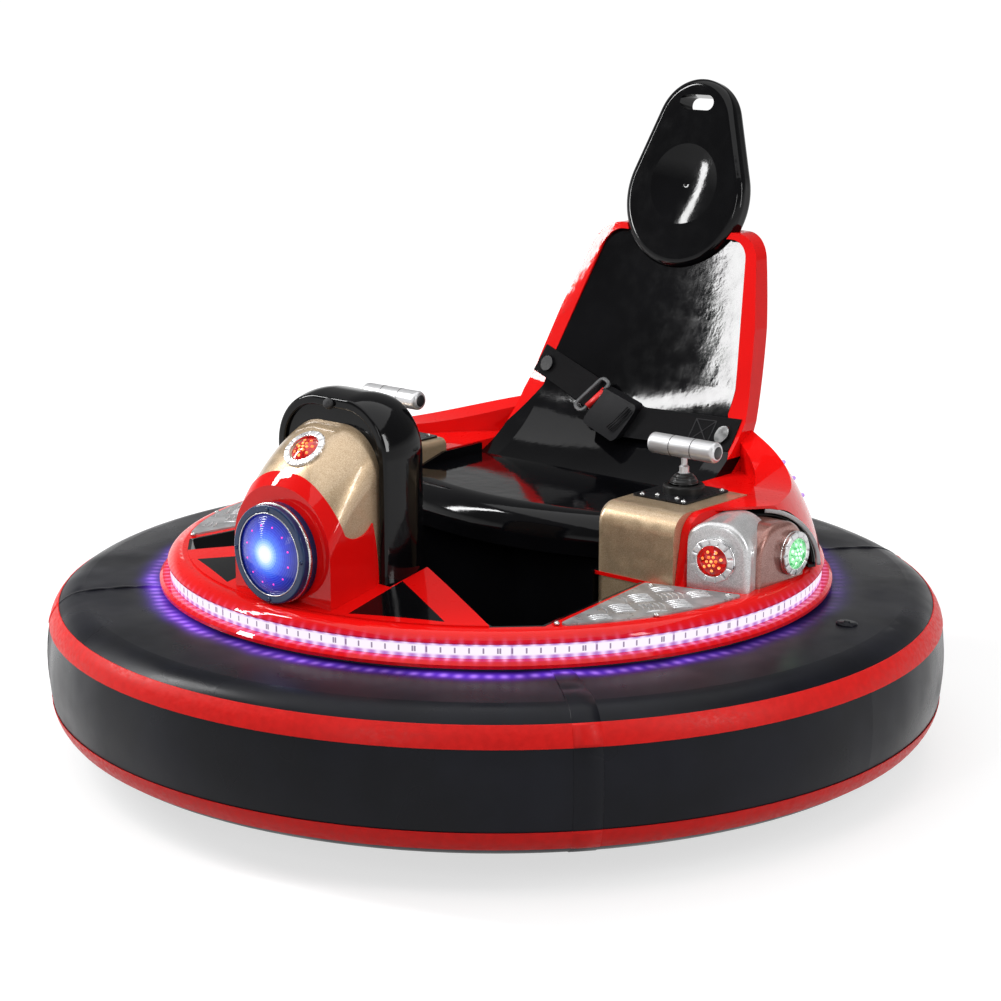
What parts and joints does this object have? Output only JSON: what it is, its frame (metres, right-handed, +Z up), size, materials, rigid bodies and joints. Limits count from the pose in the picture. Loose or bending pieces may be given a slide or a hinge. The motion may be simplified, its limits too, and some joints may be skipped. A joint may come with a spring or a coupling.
{
  "type": "bumper car",
  "caption": "Round battery bumper car with an inflated ring tube, moulded seat with headrest, foot well, twin steering levers, lamps and a lit deck edge.",
  "frame": {"origin": "on the floor under the middle of the ring tube", "axes": "+Z up, -Y to the front of the car, +X to the rider's left"},
  "size_m": [1.5, 1.5, 1.0729],
  "materials": {
    "tube_rubber": "satin",
    "stripe_red": "satin",
    "body_red": "gloss",
    "body_black": "gloss",
    "gold_paint": "metallic gloss",
    "silver_paint": "metallic gloss",
    "copper_paint": "metallic gloss",
    "chrome_bezel": "polished",
    "lens_red": "gloss",
    "lens_green": "gloss",
    "strip_light": "gloss",
    "headlight_blue": "gloss",
    "headlight_glass": "gloss",
    "tread_plate": "five-bar tread",
    "frame_steel": "satin",
    "bright_steel": "zinc plated",
    "motor_paint": "satin",
    "battery_case": "matte",
    "drive_tyre": "matte",
    "drive_rim": "cast",
    "caster_tread": "satin",
    "liner_black": "ribbed",
    "boot_rubber": "matte",
    "plate_black": "satin",
    "lever_black": "satin",
    "webbing": "woven",
    "buckle_black": "satin"
  },
  "bodies": {
    "car_body": {"bumper_tube": "tube_rubber", "tube_stripes": "stripe_red", "chassis_hoop": "frame_steel", "floor_pan": "frame_steel", "deck": "body_red", "light_strip": "strip_light", "foot_tub": "body_black", "headlight_cowl": "body_red", "front_console": "gold_paint", "console_hood": "body_black", "apron_inlays": "body_black", "front_apron": "body_red", "headlight_bezel": "headlight_blue", "headlight_lens": "headlight_glass", "side_consoles": "gold_paint", "lever_plates": "plate_black", "lever_boots": "boot_rubber", "front_pods": "silver_paint", "side_pods": "copper_paint", "arch_liners": "liner_black", "fenders": "body_red", "step_plates": "tread_plate", "lamp_bezels": "chrome_bezel", "lamp_lenses_red": "lens_red", "lamp_lenses_green": "lens_green", "seat_pan": "body_black", "seat_back": "body_black", "seat_shell": "body_red", "headrest": "body_black", "lap_belt": "webbing", "belt_buckle": "buckle_black", "belt_bolts": "bright_steel", "battery_pack": "battery_case", "drive_motors": "motor_paint", "caster_plates": "bright_steel"},
    "drive_wheel_left": {"drive_hub_left": "drive_rim", "drive_tyre_left": "drive_tyre"},
    "drive_wheel_right": {"drive_hub_right": "drive_rim", "drive_tyre_right": "drive_tyre"},
    "caster_front": {"caster_fork_front": "bright_steel"},
    "caster_front_roll": {"caster_wheel_front": "caster_tread"},
    "caster_rear": {"caster_fork_rear": "bright_steel"},
    "caster_rear_roll": {"caster_wheel_rear": "caster_tread"},
    "lever_left": {"steering_lever_left": "lever_black"},
    "lever_right": {"steering_lever_right": "lever_black"}
  },
  "joints": [
    {"name": "drive_wheel_left_spin", "type": "hinge", "parent": "car_body", "child": "drive_wheel_left", "pos_m": [0.33, 0.06, 0.1], "axis": [1, 0, 0], "continuous": true},
    {"name": "drive_wheel_right_spin", "type": "hinge", "parent": "car_body", "child": "drive_wheel_right", "pos_m": [-0.33, 0.06, 0.1], "axis": [1, 0, 0], "continuous": true},
    {"name": "caster_front_swivel", "type": "hinge", "parent": "car_body", "child": "caster_front", "pos_m": [0, -0.372, 0.12], "axis": [0, 0, 1], "continuous": true},
    {"name": "caster_front_spin", "type": "hinge", "parent": "caster_front", "child": "caster_front_roll", "pos_m": [0, -0.338, 0.05], "axis": [1, 0, 0], "continuous": true},
    {"name": "caster_rear_swivel", "type": "hinge", "parent": "car_body", "child": "caster_rear", "pos_m": [0, 0.372, 0.12], "axis": [0, 0, 1], "continuous": true},
    {"name": "caster_rear_spin", "type": "hinge", "parent": "caster_rear", "child": "caster_rear_roll", "pos_m": [0, 0.406, 0.05], "axis": [1, 0, 0], "continuous": true},
    {"name": "lever_left_tilt", "type": "hinge", "parent": "car_body", "child": "lever_left", "pos_m": [0.322, 0.092, 0.462], "axis": [1, 0, 0], "range_deg": [-20, 20], "stiffness_Nm_per_rad": 1.5},
    {"name": "lever_right_tilt", "type": "hinge", "parent": "car_body", "child": "lever_right", "pos_m": [-0.322, 0.092, 0.462], "axis": [1, 0, 0], "range_deg": [-20, 20], "stiffness_Nm_per_rad": 1.5}
  ]
}
